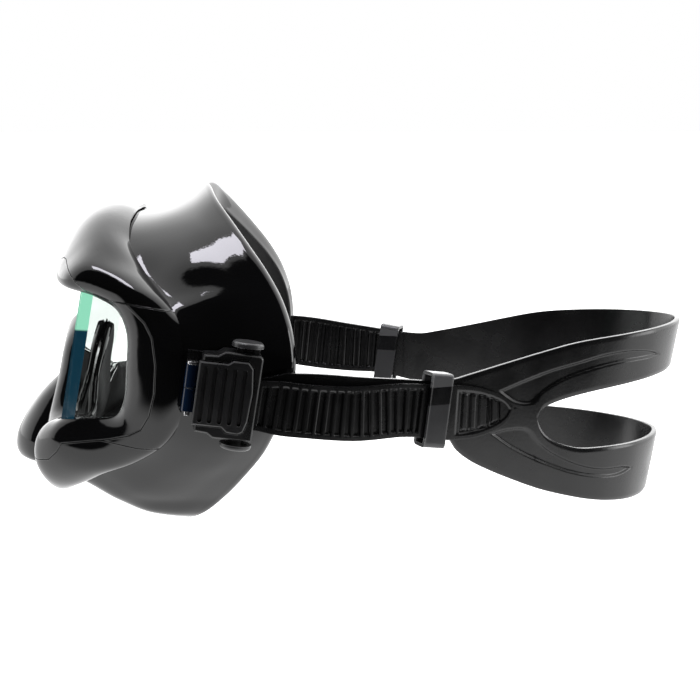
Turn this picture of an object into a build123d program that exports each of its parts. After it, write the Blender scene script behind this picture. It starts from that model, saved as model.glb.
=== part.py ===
"""Diving mask: rigid frame with wrap-round lenses, silicone skirt, split strap, two swivel buckles.

Millimetres.  +X is the wearer's left, +Y points to the back of the head, +Z is up.
The origin is the centre of the face opening, at eye level on the mid plane.
"""
from build123d import *
import math
import os

os.makedirs("parts", exist_ok=True)

# ---------------------------------------------------------------- driving dimensions
WALL_FRONT = 2.6          # frame wall at the lens lip
WALL_REAR = 1.3           # frame wall at its rear edge
SEAM_GAP = 0.3            # gap between the frame covers
SKIRT_WALL = 2.0          # silicone wall
SKIRT_CLEAR = 0.45        # room between the frame and the skirt under it
LENS_THICK = 4.0          # front lens
SIDE_THICK = 3.0          # side lenses
LENS_RABBET = 1.6         # how far the lens edges reach under the lip
LENS_SLOPE = 0.187        # front lens leans back this much per mm of height
HINGE_AT = (77.8, -12.2, 0.0)
HINGE_TILT = 8.0          # the buckle drops this many degrees towards the back
HINGE_TOE = 6.0           # and turns in by this many
BARREL_R = 2.1
PIN_R = 0.95
RUN_FIT = 0.06            # radial clearance of a running fit
ROLLER_AT = (9.0, 3.1)    # strap roller in the buckle: back, out
ROLLER_R = 1.45
STRAP_THICK = 1.5         # strap inside the buckle
BAND_THICK = 2.0          # strap behind the buckle
SWIVEL_R = 26.5           # the strap parts on this radius round the hinge
RIB_PITCH = 3.2

# ---------------------------------------------------------------- small helpers


def vectors(rows):
    """Turn rows of number triples into rows of vectors."""
    return [[Vector(*p) for p in row] for row in rows]


def flip(p):
    """The same point on the other side of the mid plane."""
    return Vector(-p.X, p.Y, p.Z)


def smooth(points, steps):
    """Points along a smooth curve that crosses the mid plane squarely at both ends."""
    run = [flip(points[1])] + points + [flip(points[-2])]
    out = []
    for a, b, c, d in zip(run, run[1:], run[2:], run[3:]):
        ta, tb, tc = [math.sqrt((q - p).length) for p, q in ((a, b), (b, c), (c, d))]
        leave = ((b - a) * (1 / ta) - (c - a) * (1 / (ta + tb)) + (c - b) * (1 / tb)) * tb
        reach = ((c - b) * (1 / tb) - (d - b) * (1 / (tb + tc)) + (d - c) * (1 / tc)) * tb
        for k in range(steps):
            t = k / steps
            h0 = 2 * t**3 - 3 * t**2 + 1
            h1 = t**3 - 2 * t**2 + t
            h3 = t**3 - t**2
            out.append(b * h0 + leave * h1 + c * (1 - h0) + reach * h3)
    return out + [points[-1]]


def wall_solid(sections, walls):
    """A shell half: outer sections lofted, with an inner skin set in by one wall per row."""
    count = len(walls)
    ring = [[flip(p) for p in sections[1]]] + sections + [[flip(p) for p in sections[-2]]]
    wires = []
    for k, outer in enumerate(sections):
        inner = []
        for j, p in enumerate(outer):
            along = ring[k + 2][j] - ring[k][j]
            across = outer[min(j + 1, count - 1)] - outer[max(j - 1, 0)]
            inner.append(p - along.cross(across).normalized() * walls[j][k])
        wires.append(Wire([
            Edge.make_spline(outer),
            Edge.make_line(outer[-1], inner[-1]),
            Edge.make_spline(inner[::-1]),
            Edge.make_line(inner[0], outer[0]),
        ]))
    return Part() + Solid.make_loft(wires)


def side_region(points, inset=0.0):
    """A long prism across the mask whose outline is given in (back, up)."""
    face = make_face(Plane.YZ * Polyline(*points, close=True))
    if inset:
        face = offset(face, amount=-inset, kind=Kind.INTERSECTION)
    return extrude(face, amount=120, dir=(1, 0, 0), both=True)


def half_space(side):
    """Everything on one side of the mid plane, as a big box."""
    return Pos(side * 150, 0, 0) * Box(300, 600, 400)


def save(name, shape):
    """Write one named piece."""
    solids = shape.solids()
    shape = solids[0] if len(solids) == 1 else Compound(children=list(solids))
    export_step(shape, f"parts/{name}.step")
    box = shape.bounding_box()
    print(f"{name:26s} solids {len(solids)} volume {sum(s.volume for s in solids):10.1f}"
          f" x {box.min.X:7.1f} {box.max.X:7.1f} y {box.min.Y:7.1f} {box.max.Y:7.1f}"
          f" z {box.min.Z:7.1f} {box.max.Z:7.1f}")


def save_pair(name, shape):
    """Write a piece of the wearer's left side and its mirror image."""
    save(name + "_left", shape)
    save(name + "_right", mirror(shape, about=Plane.YZ))


# ---------------------------------------------------------------- frame
# Stations run from the middle of the brow round the wearer's left side to the nose arch.
# Each one goes from the lens lip, over the outside, to the rear edge.
FRAME = vectors([
    ((0, -48.2, 30), (0, -58.5, 34), (0, -57.5, 46), (0, -47, 54.4), (0, -34, 53.6)),
    ((20, -48.2, 30), (20, -58.5, 33.8), (20, -56.6, 45.5), (20, -47.2, 54.2), (20, -33.9, 53.1)),
    ((38, -48.2, 30), (39, -58.5, 33.2), (39.5, -53.9, 43.5), (38.5, -46, 51.2), (36, -34.2, 49.4)),
    ((50, -48.2, 29.8), (51, -57, 32), (53, -50.9, 40.5), (52, -43.6, 45.6), (46.5, -33.2, 43)),
    ((58.5, -48, 28.8), (61, -52.5, 31), (64, -48, 36.5), (62.5, -40, 39), (56.5, -27.5, 34.5)),
    ((63, -42, 26.8), (66.5, -43, 29.5), (69.5, -37.5, 32.5), (68.5, -30.5, 33), (64.5, -22, 28.8)),
    ((66, -36, 23.3), (69.8, -35, 25.8), (72.8, -29.5, 27.6), (73, -23.5, 27), (70, -18.3, 25)),
    ((67.2, -33, 16), (71, -31, 17.3), (74.6, -25.5, 18.2), (76, -20, 18.5), (74.8, -15, 18.6)),
    ((67.2, -33.4, 4), (71.2, -31, 4.3), (75, -25.5, 4.2), (77, -20, 3.8), (76.2, -14.2, 3)),
    ((66.8, -34.4, -6), (70.6, -32, -7), (74.2, -26.5, -8.2), (76, -20.5, -9.2), (74.8, -15.2, -9.2)),
    ((65.2, -37, -11), (68.6, -35.5, -14), (71.5, -30, -18), (73, -24, -19.6), (71, -18.4, -17.2)),
    ((62.6, -43, -12.6), (65.2, -43, -17), (67.5, -38.5, -23), (67.2, -32, -26.4), (64.3, -26.8, -24.3)),
    ((58.5, -55.4, -13.6), (61, -57.5, -18), (61.5, -54, -28), (59.5, -45.5, -32.6), (56, -38, -29.2)),
    ((50, -56.4, -14.6), (52, -64, -19), (52, -64.5, -31.5), (49.5, -57, -38.6), (47.5, -48, -34.2)),
    ((40, -56.9, -16.6), (41.5, -65, -21), (41, -66, -33.5), (40, -61, -41), (39.5, -53.8, -40)),
    ((31, -57.2, -18.4), (31, -65.5, -22), (29, -66.3, -31.5), (27, -62, -38.5), (27, -55.5, -38.8)),
    ((25, -56.8, -16), (23, -65.2, -18.5), (20.5, -66, -22), (18.6, -63.5, -25), (18, -58, -26)),
    ((20.5, -54.8, -5), (17.5, -62.5, -6), (14.8, -63, -8), (12.8, -61, -9.6), (12, -56, -10.4)),
    ((13.5, -52.3, 8), (11.5, -60.5, 6.4), (9.6, -61.2, 3.6), (8, -59, 1.4), (7.4, -54.5, 0.6)),
    ((0, -51, 14.8), (0, -59.2, 13), (0, -60.8, 9.8), (0, -58.6, 6.8), (0, -54, 5.8)),
])
FRAME_WALLS = (WALL_FRONT, WALL_FRONT, WALL_FRONT, 2.2, WALL_REAR)
THIN_AT_NOSE = (1, 0.8, 0.6, 0.5, 0.45)     # share of the wall at the last stations
SPAN_STEPS = 3

# Seam lines between the covers, in (back, up).
SEAM_BROW = [(-90, 36.6), (-57.4, 37.3), (-55.6, 38.7), (-54.1, 38.5), (-51.3, 35), (-49, 32),
             (-46.1, 29.4), (-38.5, 26.6), (-32.6, 26)]
SEAM_BROW_REAR = [(-25.1, 24.9), (-18.5, 23.7), (0, 22)]
SEAM_CHEEK = [(-26.5, 20.1), (-24.1, 15.4), (-23.1, 6.6), (-23.7, -2.6), (-25.5, -9.8),
              (-28.5, -14.8), (-32.9, -17.2), (-39.6, -18.9), (-42.1, -19.3)]
SEAM_FRONT = [(-55.4, -21), (-57.2, -24), (-60.6, -27.4), (-65.7, -28.4), (-90, -28.8)]
SEAM_LOWER = [(-36.8, -20.1), (-29.7, -21.2), (-22.7, -21.2), (0, -21.2)]


def ring_rows():
    """The frame's five rows of points, filled in between the stations."""
    return [smooth([station[j] for station in FRAME], SPAN_STEPS) for j in range(5)]


def ring_walls():
    """Wall thickness for each row at each filled-in station; thin round the nose arch."""
    count = SPAN_STEPS * (len(FRAME) - 1) + 1
    bend = SPAN_STEPS * (len(THIN_AT_NOSE) - 1)
    walls = []
    for wall in FRAME_WALLS:
        row = []
        for k in range(count):
            into = max(0, k - (count - 1 - bend)) / SPAN_STEPS
            low = min(int(into), len(THIN_AT_NOSE) - 2)
            share = THIN_AT_NOSE[low] + (THIN_AT_NOSE[low + 1] - THIN_AT_NOSE[low]) * (into - low)
            row.append(wall * share)
        walls.append(row)
    return walls


def frame_half():
    """Left half of the moulded frame ring."""
    rows = ring_rows()
    sections = [list(p) for p in zip(*rows)]
    return wall_solid(sections, ring_walls())


# ---------------------------------------------------------------- lenses
def front_plane(depth):
    """The front lens's outer face, set back by depth."""
    normal = Vector(0, -1, LENS_SLOPE).normalized()
    return Plane(origin=Vector(0, -53.6, 0) - normal * depth, x_dir=(1, 0, 0), z_dir=normal)


def side_plane(depth):
    """The left side lens's outer face, set in by depth."""
    normal = Vector(1, -0.464, 0).normalized()
    return Plane(origin=Vector(67.2, -33.2, 0) - normal * depth, x_dir=(0, 0, 1), z_dir=normal)


def plate(points, plane, thick, grow):
    """A flat plate through the points, grown outward at its edge."""
    flat = [plane.to_local_coords(p) for p in points]
    flat = [(p.X, p.Y) for p in flat]
    face = make_face(Polyline(*flat, close=True))
    face = offset(face, amount=grow, kind=Kind.ARC)
    return extrude(plane * face, amount=-thick)


def lens_set():
    """Front lens and left side lens, butted together without a pillar."""
    lip = ring_rows()[0]
    top = lip[: 4 * SPAN_STEPS + 1]
    cheek = lip[4 * SPAN_STEPS: 12 * SPAN_STEPS + 1]
    low = lip[12 * SPAN_STEPS:]
    half = top + low
    outline = half + [flip(p) for p in half[::-1][1:-1]]
    front = plate(outline, front_plane(0), LENS_THICK, LENS_RABBET)
    side = plate(cheek, side_plane(0), SIDE_THICK, LENS_RABBET)
    ahead = front_plane(0) * Pos(0, 0, 20) * Box(200, 120, 40)
    side -= ahead
    cut = side_plane(SIDE_THICK + 0.15) * Pos(0, 0, 50) * Box(120, 120, 100)
    front = front - cut - mirror(cut, about=Plane.YZ)
    return front, side


# ---------------------------------------------------------------- skirt
# Wall behind the frame, then the face edge, for the stations from brow to cheek.
SKIRT_BACK = vectors([
    ((0, -24, 54.8), (0, -16, 58.2), (0, -9.9, 62.3)),
    ((20, -23, 53.6), (20, -15, 56.8), (20, -7.6, 61.2)),
    ((36, -21, 51), (35.5, -13, 53.8), (34, -5, 57.5)),
    ((47, -18, 46), (47, -8.5, 48.8), (46, 0.8, 50.4)),
    ((57.5, -14, 38.4), (57, -4, 41), (54.5, 6.5, 43)),
    ((65, -8, 31), (64, 1.5, 33.5), (60.4, 12.1, 35.2)),
    ((70.6, -4.5, 25), (69, 6, 26), (64.3, 17.2, 25.8)),
    ((73, -3, 17), (71.4, 9, 15.8), (67.3, 20.4, 14.6)),
    ((73.7, -2.5, 2.5), (72, 9.5, 2.4), (68.4, 21, 2.3)),
    ((72.7, -3, -10), (71.2, 8, -10), (66.4, 18.4, -9.9)),
    ((70.4, -6, -18.6), (69, 5, -19), (63, 14.2, -18.7)),
    ((64.8, -12, -27), (64, 0, -27.2), (59.4, 10.6, -25.8)),
    ((57.6, -22, -34.5), (58, -8, -35), (55, 4.6, -34)),
    ((49, -33, -42), (50.5, -17, -43.4), (49.5, -1.8, -41.8)),
    ((41.5, -40, -45.2), (44, -27, -49.6), (43.5, -10, -49.4)),
    ((30, -38, -44), (33, -27, -50), (35, -17.5, -52.6)),
])
# The last stations follow the nose: seat, neck, bridge, tip, nostril, underside, back edge.
SKIRT_NOSE = vectors([
    ((21.5, -51, -17), (17, -53.5, -24.6), (18.4, -60, -28.5), (18.6, -63, -32.5),
     (18.4, -60, -37.6), (20, -42, -40.4), (25, -19, -52.6)),
    ((17.4, -50, -5), (10.8, -53, -11.5), (13.4, -68, -20), (16.2, -72.5, -29.5),
     (15.5, -71.5, -37), (15, -46, -39.6), (16, -20.3, -51)),
    ((11, -47.6, 5), (6, -53.6, -1.8), (8.4, -71.6, -17), (9.6, -78.6, -29.6),
     (9, -77.2, -37.2), (8.5, -48, -39.6), (8, -20.8, -49.8)),
    ((0, -46.4, 11.6), (0, -53, 2.8), (0, -72.2, -15), (0, -80.8, -30),
     (0, -79.6, -37.4), (0, -50, -39.8), (0, -21, -49.4)),
])
LIP_IN = 7.0              # how far the face edge turns in


def skirt_half():
    """Left half of the skirt, nose pocket included."""
    lip = [p[0] for p in FRAME]
    sections = []
    for k, (mid, rear, edge) in enumerate(SKIRT_BACK):
        under, hem = FRAME[k][3], FRAME[k][4]
        ahead = FRAME[k - 1] if k else [flip(p) for p in FRAME[1]]
        after = FRAME[k + 1]
        inset = []
        for j, wall in ((3, 2.2), (4, WALL_REAR)):
            along = after[j] - ahead[j]
            across = FRAME[k][4] - FRAME[k][j - 1]
            normal = along.cross(across).normalized()
            inset.append(FRAME[k][j] - normal * (wall + SKIRT_CLEAR))
        inward = Vector(-mid.X, 0, -mid.Z).normalized()
        seat = lip[k] + Vector(0, LENS_THICK + 0.6, 0) + inward * 0.6
        rise = (seat + inset[0]) * 0.5
        sections.append([seat, rise, inset[0], inset[1], mid, rear, edge])
    sections += [list(row) for row in SKIRT_NOSE]
    for k, row in enumerate(sections):
        edge = row[-1]
        back = -0.1 if k < len(SKIRT_BACK) else 0.3
        inward = Vector(-edge.X, 0, -edge.Z).normalized()
        row.append(edge + inward * LIP_IN + Vector(0, back * LIP_IN, 0))
    rows = [smooth([s[j] for s in sections], SPAN_STEPS) for j in range(8)]
    sections = [list(p) for p in zip(*rows)]
    walls = [[SKIRT_WALL * share] * len(sections) for share in (1, 1, 1, 1, 1, 1, 0.7, 0.4)]
    return wall_solid(sections, walls)


# ---------------------------------------------------------------- buckle, in its own frame
# Local x runs back along the strap, y up along the hinge pin, z outward.
drop = math.radians(HINGE_TILT)
toe = math.radians(HINGE_TOE)
ALONG = Vector(-math.sin(toe) * math.cos(drop), math.cos(toe) * math.cos(drop), -math.sin(drop))
PIN_AXIS = Vector(0, -ALONG.Z, ALONG.Y).normalized()
BUCKLE = Plane(origin=HINGE_AT, x_dir=ALONG, z_dir=ALONG.cross(PIN_AXIS))

HOUSING = [(2.6, 12.2), (7, 12.4), (9.4, 13.9), (21.3, 13.6), (21.1, 0), (20.8, -13.9),
           (8.4, -13.9), (6.4, -12.6), (2.4, -12.3)]
LEVER = [(1.5, 10.2), (10.4, 10.3), (12, 11.4), (16.8, 11.4), (18.4, 9.6), (19.2, 2), (18.6, -7.5),
         (17.6, -10.8), (16, -11.7), (12.4, -11.5), (10.6, -10), (1.3, -10)]
HOUSING_FLOOR = -1.2
HOUSING_TOP = 8.2
LEVER_UNDER = 6.9
LEVER_TOP = 9.5
LEVER_PIN = (4.8, 5.4)      # back, out
KNUCKLE_R = 1.35
STRAP_LOW = -12.1           # strap room in the housing, along the pin
STRAP_HIGH = 8.6
BUTTON_AT = (16.3, 3.2)     # back, out
BUTTON_R = 5.1
BUTTON_GAP = 1.6            # cap stands this far off the housing
GROOVES = 5


def slab(points, low, high, grow=0.0):
    """A plate between two heights over the buckle's base."""
    face = make_face(Polyline(*points, close=True))
    if grow:
        face = offset(face, amount=grow, kind=Kind.INTERSECTION)
    return extrude(Pos(0, 0, low) * face, amount=high - low)


def block(x0, x1, y0, y1, z0, z1):
    """A box between two corners."""
    middle = Pos((x0 + x1) / 2, (y0 + y1) / 2, (z0 + z1) / 2)
    return middle * Box(x1 - x0, y1 - y0, z1 - z0)


def rod(back, out, radius, low, high):
    """A round bar along the pin direction."""
    turned = Plane(origin=(back, low, out), x_dir=(1, 0, 0), z_dir=(0, 1, 0))
    return extrude(turned * Circle(radius), amount=high - low)


def hinge_parts():
    """Bracket, upper barrel, lower knuckle and steel pin."""
    bore = rod(0, 0, PIN_R + RUN_FIT, -12, 12)
    bracket = block(-1.9, 8, 1.2, 11.6, -4.2, -2.2)
    bracket += block(-1.2, 1.2, 1.2, 7.4, -2.3, -1.6) - rod(0, 0, BARREL_R, -12, 12)
    barrel = rod(0, 0, BARREL_R, 0.1, 7.6) - bore
    knuckle = rod(0, 0, BARREL_R, -7.6, -0.1) - bore
    pin = rod(0, 0, PIN_R, -9, 7.7) + rod(0, 0, BARREL_R - 0.2, 7.65, 8.5)
    return bracket, barrel, knuckle, pin


def housing():
    """Open tray that carries the roller, the lever and the two push buttons."""
    body = slab(HOUSING, HOUSING_FLOOR, HOUSING_TOP)
    body = fillet(body.edges().filter_by(Axis.Z).group_by(Axis.X)[-1], 1.4)
    body = chamfer(body.faces().sort_by(Axis.Z)[-1].edges(), 0.5)
    body -= block(5.6, 30, STRAP_LOW, STRAP_HIGH, -0.25, 6.45)
    body -= slab(LEVER, 6.45, 12, 0.35)
    body -= block(2, 3.6, -10.35, 10.55, 5.7, 12)       # room for the lever's front edge to tip down
    body -= block(3.1, 7.0, -9.2, 9.2, 3.2, 12)
    body += block(0.9, 2.7, -7.5, -0.2, HOUSING_FLOOR, 1.2) - rod(0, 0, BARREL_R + 0.02, -12, 12)
    body -= rod(*ROLLER_AT, 0.9 + RUN_FIT, STRAP_LOW - 1, STRAP_HIGH + 1)
    body -= rod(*LEVER_PIN, 0.7 + 0.01, -10.6, 10.6)
    for side in (1, -1):
        for at in (-3.2, 1.9):
            x = BUTTON_AT[0] + at
            cut = block(x - 0.1, x + 2.1, 9.9, 20, BUTTON_AT[1] - 1.7, BUTTON_AT[1] + 1.7)
            body -= cut if side > 0 else Pos(0, -0.3, 0) * mirror(cut, about=Plane.XZ)
    return body


def lever():
    """Ribbed cover plate with its knuckles and the tooth that grips the strap."""
    plate_ = slab(LEVER, LEVER_UNDER, LEVER_TOP)
    plate_ = chamfer(plate_.faces().sort_by(Axis.Z)[-1].edges(), 0.45)
    for k in range(GROOVES):
        x = 2.9 + k * 3.1
        groove = block(x, x + 1.3, -9, 9, LEVER_TOP - 0.9, LEVER_TOP + 1)
        plate_ -= fillet(groove.edges().filter_by(Axis.Z), 0.6)
    for low, high in ((-8.9, -4.5), (4.5, 8.9)):
        plate_ += rod(*LEVER_PIN, KNUCKLE_R, low, high)
        plate_ += block(3.9, 5.7, low, high, 5.4, 7.0)
    plate_ += slab([(15, -6), (16.2, -6), (16.2, 4), (15, 4)], 6.5, 7.0)
    return plate_ - rod(*LEVER_PIN, 0.7 + RUN_FIT, -12, 12)


def lever_spring():
    """Closed coils round the lever pin between its two knuckles."""
    coil = Part()
    for k in range(8):
        ring = rod(*LEVER_PIN, 1.3, -3.9 + k, -3.3 + k) - rod(*LEVER_PIN, 0.78, -12, 12)
        coil += ring
    bridge = block(LEVER_PIN[0] - 0.2, LEVER_PIN[0] + 0.2, -3.9, 3.7, LEVER_PIN[1] - 1.3,
                   LEVER_PIN[1] - 0.9)
    return coil + bridge


def button(side):
    """Domed cap on two legs."""
    face = 13.95 if side > 0 else 14.1
    under = face + BUTTON_GAP
    cap = rod(*BUTTON_AT, BUTTON_R, under, under + 1.7)
    cap = fillet(cap.faces().sort_by(Axis.Y)[-1].edges(), 1.1)
    for at in (-3.2, 1.9):
        x = BUTTON_AT[0] + at
        cap += block(x, x + 2, under - 3.9, under + 0.2, BUTTON_AT[1] - 1.6, BUTTON_AT[1] + 1.6)
    return cap if side > 0 else mirror(cap, about=Plane.XZ)


def roller():
    """Bar the strap turns round, with a thinner journal at each end."""
    bar = rod(*ROLLER_AT, ROLLER_R, STRAP_LOW + 0.15, STRAP_HIGH - 0.15)
    return bar + rod(*ROLLER_AT, 0.9, STRAP_LOW - 0.8, STRAP_HIGH + 0.8)


# ---------------------------------------------------------------- strap
# Plan of the wearer's left half, (left, back): the band that lies against the head.
BAND_PLAN = [(75.9, 10), (73.8, 24), (69.4, 40), (63.2, 56.5), (57.2, 72.5), (52, 87), (48, 100),
             (44.3, 114), (40.4, 128), (35.2, 139), (26.6, 150), (14, 159.3), (0, 163.3)]
BAND_LEAN = 0.83          # the loop is this much shorter at the bottom of the band
LEAN_FROM = 72.0          # from here to the back
BAND_HIGH = 20.0
BAND_DEEP = -54.0
TAIL_PLAN = [(80.6, 12), (77.8, 24), (72.2, 40), (65.4, 57.3), (59.4, 73.3), (54.2, 87.8), (51.3, 96.5)]
BAND_TOP = [(9, 4.6), (22.8, 3.7), (42.2, 1.4), (58.8, -0.6), (73.6, -1.6), (80, -0.4), (95, 3),
            (107, 5.6), (121, 8.6), (138.8, 10.4), (170, 12.6)]
BAND_BOTTOM = [(170, -51), (148, -48.5), (131, -45.4), (116.5, -42.4), (102.5, -38), (90, -33.2),
               (82, -29), (77, -24.6), (73, -21), (60, -18.9), (33.6, -18.2), (9, -14.6)]
SLOT = [(107.2, -17.2), (109, -14.4), (113, -12.6), (128.3, -9.3), (155.8, -6.4), (175, -5.5),
        (175, -29.6), (148, -29.2), (129, -28.6), (117.1, -25), (110, -21)]
TAIL_EDGE = [(10, 3), (22.7, 0.8), (45.3, -1.6), (62, -1.5), (72.4, -3), (82.9, -4.8), (91.6, -8.2),
             (94.6, -12.5), (91.7, -17.2), (83.1, -21.1), (72, -21.4), (62, -19.2), (45.3, -19.4),
             (22.7, -16.4), (10, -15)]
KEEPER_MID = (60.4, 67.2, -11.1)
KEEPER_TURN = 20.6            # the strap turns in by this many degrees here
KEEPER_LEAN = 8.0             # and drops by this many, so the loop leans back at its top
KEEPER_AHEAD = 7.0            # the right keeper is pushed this much further forward


def plan_wall(points, width, closes):
    """A standing wall along a plan curve, leaning in towards its lower edge at the back."""
    faces = []
    for height in (BAND_HIGH, BAND_DEEP):
        part_way = (BAND_HIGH - height) / (BAND_HIGH - BAND_DEEP)
        short = 1 - (1 - BAND_LEAN) * part_way
        moved = [(x, y if y < LEAN_FROM else LEAN_FROM + (y - LEAN_FROM) * short) for x, y in points]
        start = Vector(moved[1]) - Vector(moved[0])
        end = Vector(-1, 0) if closes else Vector(moved[-1]) - Vector(moved[-2])
        line = Edge.make_spline([Vector(*p) for p in moved], tangents=[start, end])
        faces.append(Pos(0, 0, height) * trace(line, line_width=width))
    return loft(faces, ruled=True)


def hinge_drum(radius):
    """A tall cylinder round the hinge pin."""
    return BUCKLE * rod(0, 0, radius, -40, 40)


def strap_band():
    """Left half of the moulded strap: run from the buckle, then the two bands of the yoke."""
    wall = plan_wall(BAND_PLAN, BAND_THICK, True)
    wall &= side_region(BAND_TOP + BAND_BOTTOM)
    wall -= side_region(SLOT)
    wall -= hinge_drum(SWIVEL_R + 0.3)
    return wall & half_space(1)


def strap_tail():
    """Ribbed end of the strap, lying on the outside, with its shield-shaped tab."""
    wall = plan_wall(TAIL_PLAN, BAND_THICK, False)
    wall &= side_region(TAIL_EDGE)
    return wall - hinge_drum(SWIVEL_R + 0.3)


def rib_cuts():
    """Cross grooves on the outside of the ribbed tail."""
    cuts = []
    for (x0, y0), (x1, y1) in zip(TAIL_PLAN[:3], TAIL_PLAN[1:4]):
        length = math.hypot(x1 - x0, y1 - y0)
        turn = math.degrees(math.atan2(x0 - x1, y1 - y0))
        count = int(length // RIB_PITCH)
        for k in range(count):
            share = (k + 0.5) / count
            y = y0 + (y1 - y0) * share
            if y < 16 or y > 55:
                continue
            x = x0 + (x1 - x0) * share + BAND_THICK / 2 + 0.35
            cuts.append(Pos(x, y, -8.8) * Rot(0, 0, turn) * Rot(-6, 0, 0) * Box(1.4, 1.5, 13.4))
    return cuts


def strap_wrap():
    """The strap where it turns round the roller, inside and just behind the buckle."""
    back, out = ROLLER_AT
    inner, outer = ROLLER_R + 0.06, ROLLER_R + 0.06 + STRAP_THICK
    bend = rod(back, out, outer, -10.4, 5.6) - rod(back, out, inner, -12, 12)
    bend -= block(back, 40, -12, 12, -10, 20)
    low = block(back, 40, -10.4, 5.6, out - outer, out - inner)
    high = block(back, 40, -10.4, 5.6, out + inner, out + outer)
    wrap = bend + low + high
    return wrap & rod(0, 0, SWIVEL_R, -20, 20)


def keeper():
    """Loop that holds the tail against the run."""
    turn = math.radians(KEEPER_TURN)
    spot = Plane(origin=KEEPER_MID, x_dir=(math.cos(turn), math.sin(turn), 0), z_dir=(0, 0, 1))
    ring = Box(8.2, 7.6, 25)
    ring = fillet(ring.edges().filter_by(Axis.Y), 1.6)
    ring -= Box(5.4, 20, 22.8)
    return spot * (Rot(-KEEPER_LEAN, 0, 0) * ring)


def ahead_on_strap(shape, distance):
    """The same piece further forward along the strap at the keeper."""
    turn = math.radians(KEEPER_TURN)
    return Pos(math.sin(turn) * distance, -math.cos(turn) * distance, 0) * shape


# ---------------------------------------------------------------- assembly
def build_frame(front, side):
    """Split the frame ring into its bezel and covers and cut the lens seats."""
    half = frame_half()
    ring = half + mirror(half, about=Plane.YZ)
    lenses = [front, side, mirror(side, about=Plane.YZ)]
    gap = SEAM_GAP / 2
    bezel_edge = SEAM_BROW + SEAM_CHEEK + SEAM_FRONT
    brow_edge = SEAM_BROW + SEAM_BROW_REAR + [(0, 90), (-90, 90)]
    side_edge = [SEAM_BROW[-1]] + SEAM_CHEEK + SEAM_LOWER + SEAM_BROW_REAR[::-1]
    lower_edge = [SEAM_CHEEK[-1]] + SEAM_FRONT + [(-90, -90), (0, -90)] + SEAM_LOWER[::-1]
    bezel = ring & side_region(bezel_edge, gap)
    brow = ring & side_region(brow_edge, gap)
    cheek = half & side_region(side_edge, gap)
    lower = half & side_region(lower_edge, gap)
    for lens in lenses:
        bezel -= lens
        brow -= lens
        lower -= lens
        cheek -= lens
    save("bezel", bezel)
    save("brow_cover", brow)
    save_pair("side_cover", cheek)
    save_pair("lower_cover", lower)
    return ring


def build_mask():
    """Everything that stays with the frame."""
    front, side = lens_set()
    ring = build_frame(front, side)
    save("front_lens", front)
    save_pair("side_lens", side)
    half = skirt_half()
    skirt = half + mirror(half, about=Plane.YZ)
    bracket = BUCKLE * hinge_parts()[0]
    for solid in (ring, front, side, mirror(side, about=Plane.YZ), bracket, mirror(bracket, about=Plane.YZ)):
        skirt -= solid
    save("skirt", skirt.solids().sort_by(SortBy.VOLUME)[-1])


def build_buckle():
    """The hinge, the buckle and the strap through it, on both sides."""
    bracket, barrel, knuckle, pin = hinge_parts()
    save_pair("hinge_bracket", BUCKLE * bracket)
    save_pair("hinge_barrel", BUCKLE * barrel)
    save_pair("hinge_knuckle", BUCKLE * knuckle)
    save_pair("hinge_pin", BUCKLE * pin)
    save_pair("buckle_housing", BUCKLE * housing())
    save_pair("lever", BUCKLE * lever())
    save_pair("lever_pin", BUCKLE * rod(*LEVER_PIN, 0.7, -10.5, 10.5))
    save_pair("lever_spring", BUCKLE * lever_spring())
    save_pair("button_top", BUCKLE * button(1))
    save_pair("button_bottom", BUCKLE * button(-1))
    save_pair("strap_roller", BUCKLE * roller())
    save_pair("strap_wrap", BUCKLE * strap_wrap())


def build_strap():
    """The strap behind the buckles, its two tails and their keepers."""
    half = strap_band()
    save("strap_band", half + mirror(half, about=Plane.YZ))
    tail = strap_tail()
    for cut in rib_cuts():
        tail -= cut
    save_pair("strap_tail", tail)
    save("keeper_left", keeper())
    save("keeper_right", mirror(ahead_on_strap(keeper(), KEEPER_AHEAD), about=Plane.YZ))


build_mask()
build_buckle()
build_strap()
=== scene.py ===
import math

import bpy
import numpy as np
from mathutils import Matrix, Vector


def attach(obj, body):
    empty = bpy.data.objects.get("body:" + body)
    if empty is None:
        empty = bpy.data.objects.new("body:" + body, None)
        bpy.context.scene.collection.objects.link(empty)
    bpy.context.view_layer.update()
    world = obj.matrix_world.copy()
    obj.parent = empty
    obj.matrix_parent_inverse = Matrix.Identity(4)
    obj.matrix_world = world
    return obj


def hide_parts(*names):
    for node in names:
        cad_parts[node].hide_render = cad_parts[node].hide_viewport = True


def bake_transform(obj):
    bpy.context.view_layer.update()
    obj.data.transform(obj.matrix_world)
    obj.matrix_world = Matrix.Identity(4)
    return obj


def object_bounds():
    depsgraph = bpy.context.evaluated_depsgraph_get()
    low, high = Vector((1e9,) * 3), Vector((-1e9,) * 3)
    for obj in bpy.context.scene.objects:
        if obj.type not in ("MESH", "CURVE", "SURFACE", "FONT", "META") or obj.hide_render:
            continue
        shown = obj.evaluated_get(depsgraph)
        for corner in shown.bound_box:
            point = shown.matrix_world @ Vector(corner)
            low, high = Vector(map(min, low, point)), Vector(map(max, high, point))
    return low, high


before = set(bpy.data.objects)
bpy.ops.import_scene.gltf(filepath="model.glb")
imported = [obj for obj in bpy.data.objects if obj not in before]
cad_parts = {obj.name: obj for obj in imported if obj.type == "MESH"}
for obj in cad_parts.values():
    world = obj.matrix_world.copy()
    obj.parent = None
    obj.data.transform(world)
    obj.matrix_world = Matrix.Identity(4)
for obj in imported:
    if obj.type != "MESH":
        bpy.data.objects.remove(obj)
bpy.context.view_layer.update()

MM = 0.001

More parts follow.
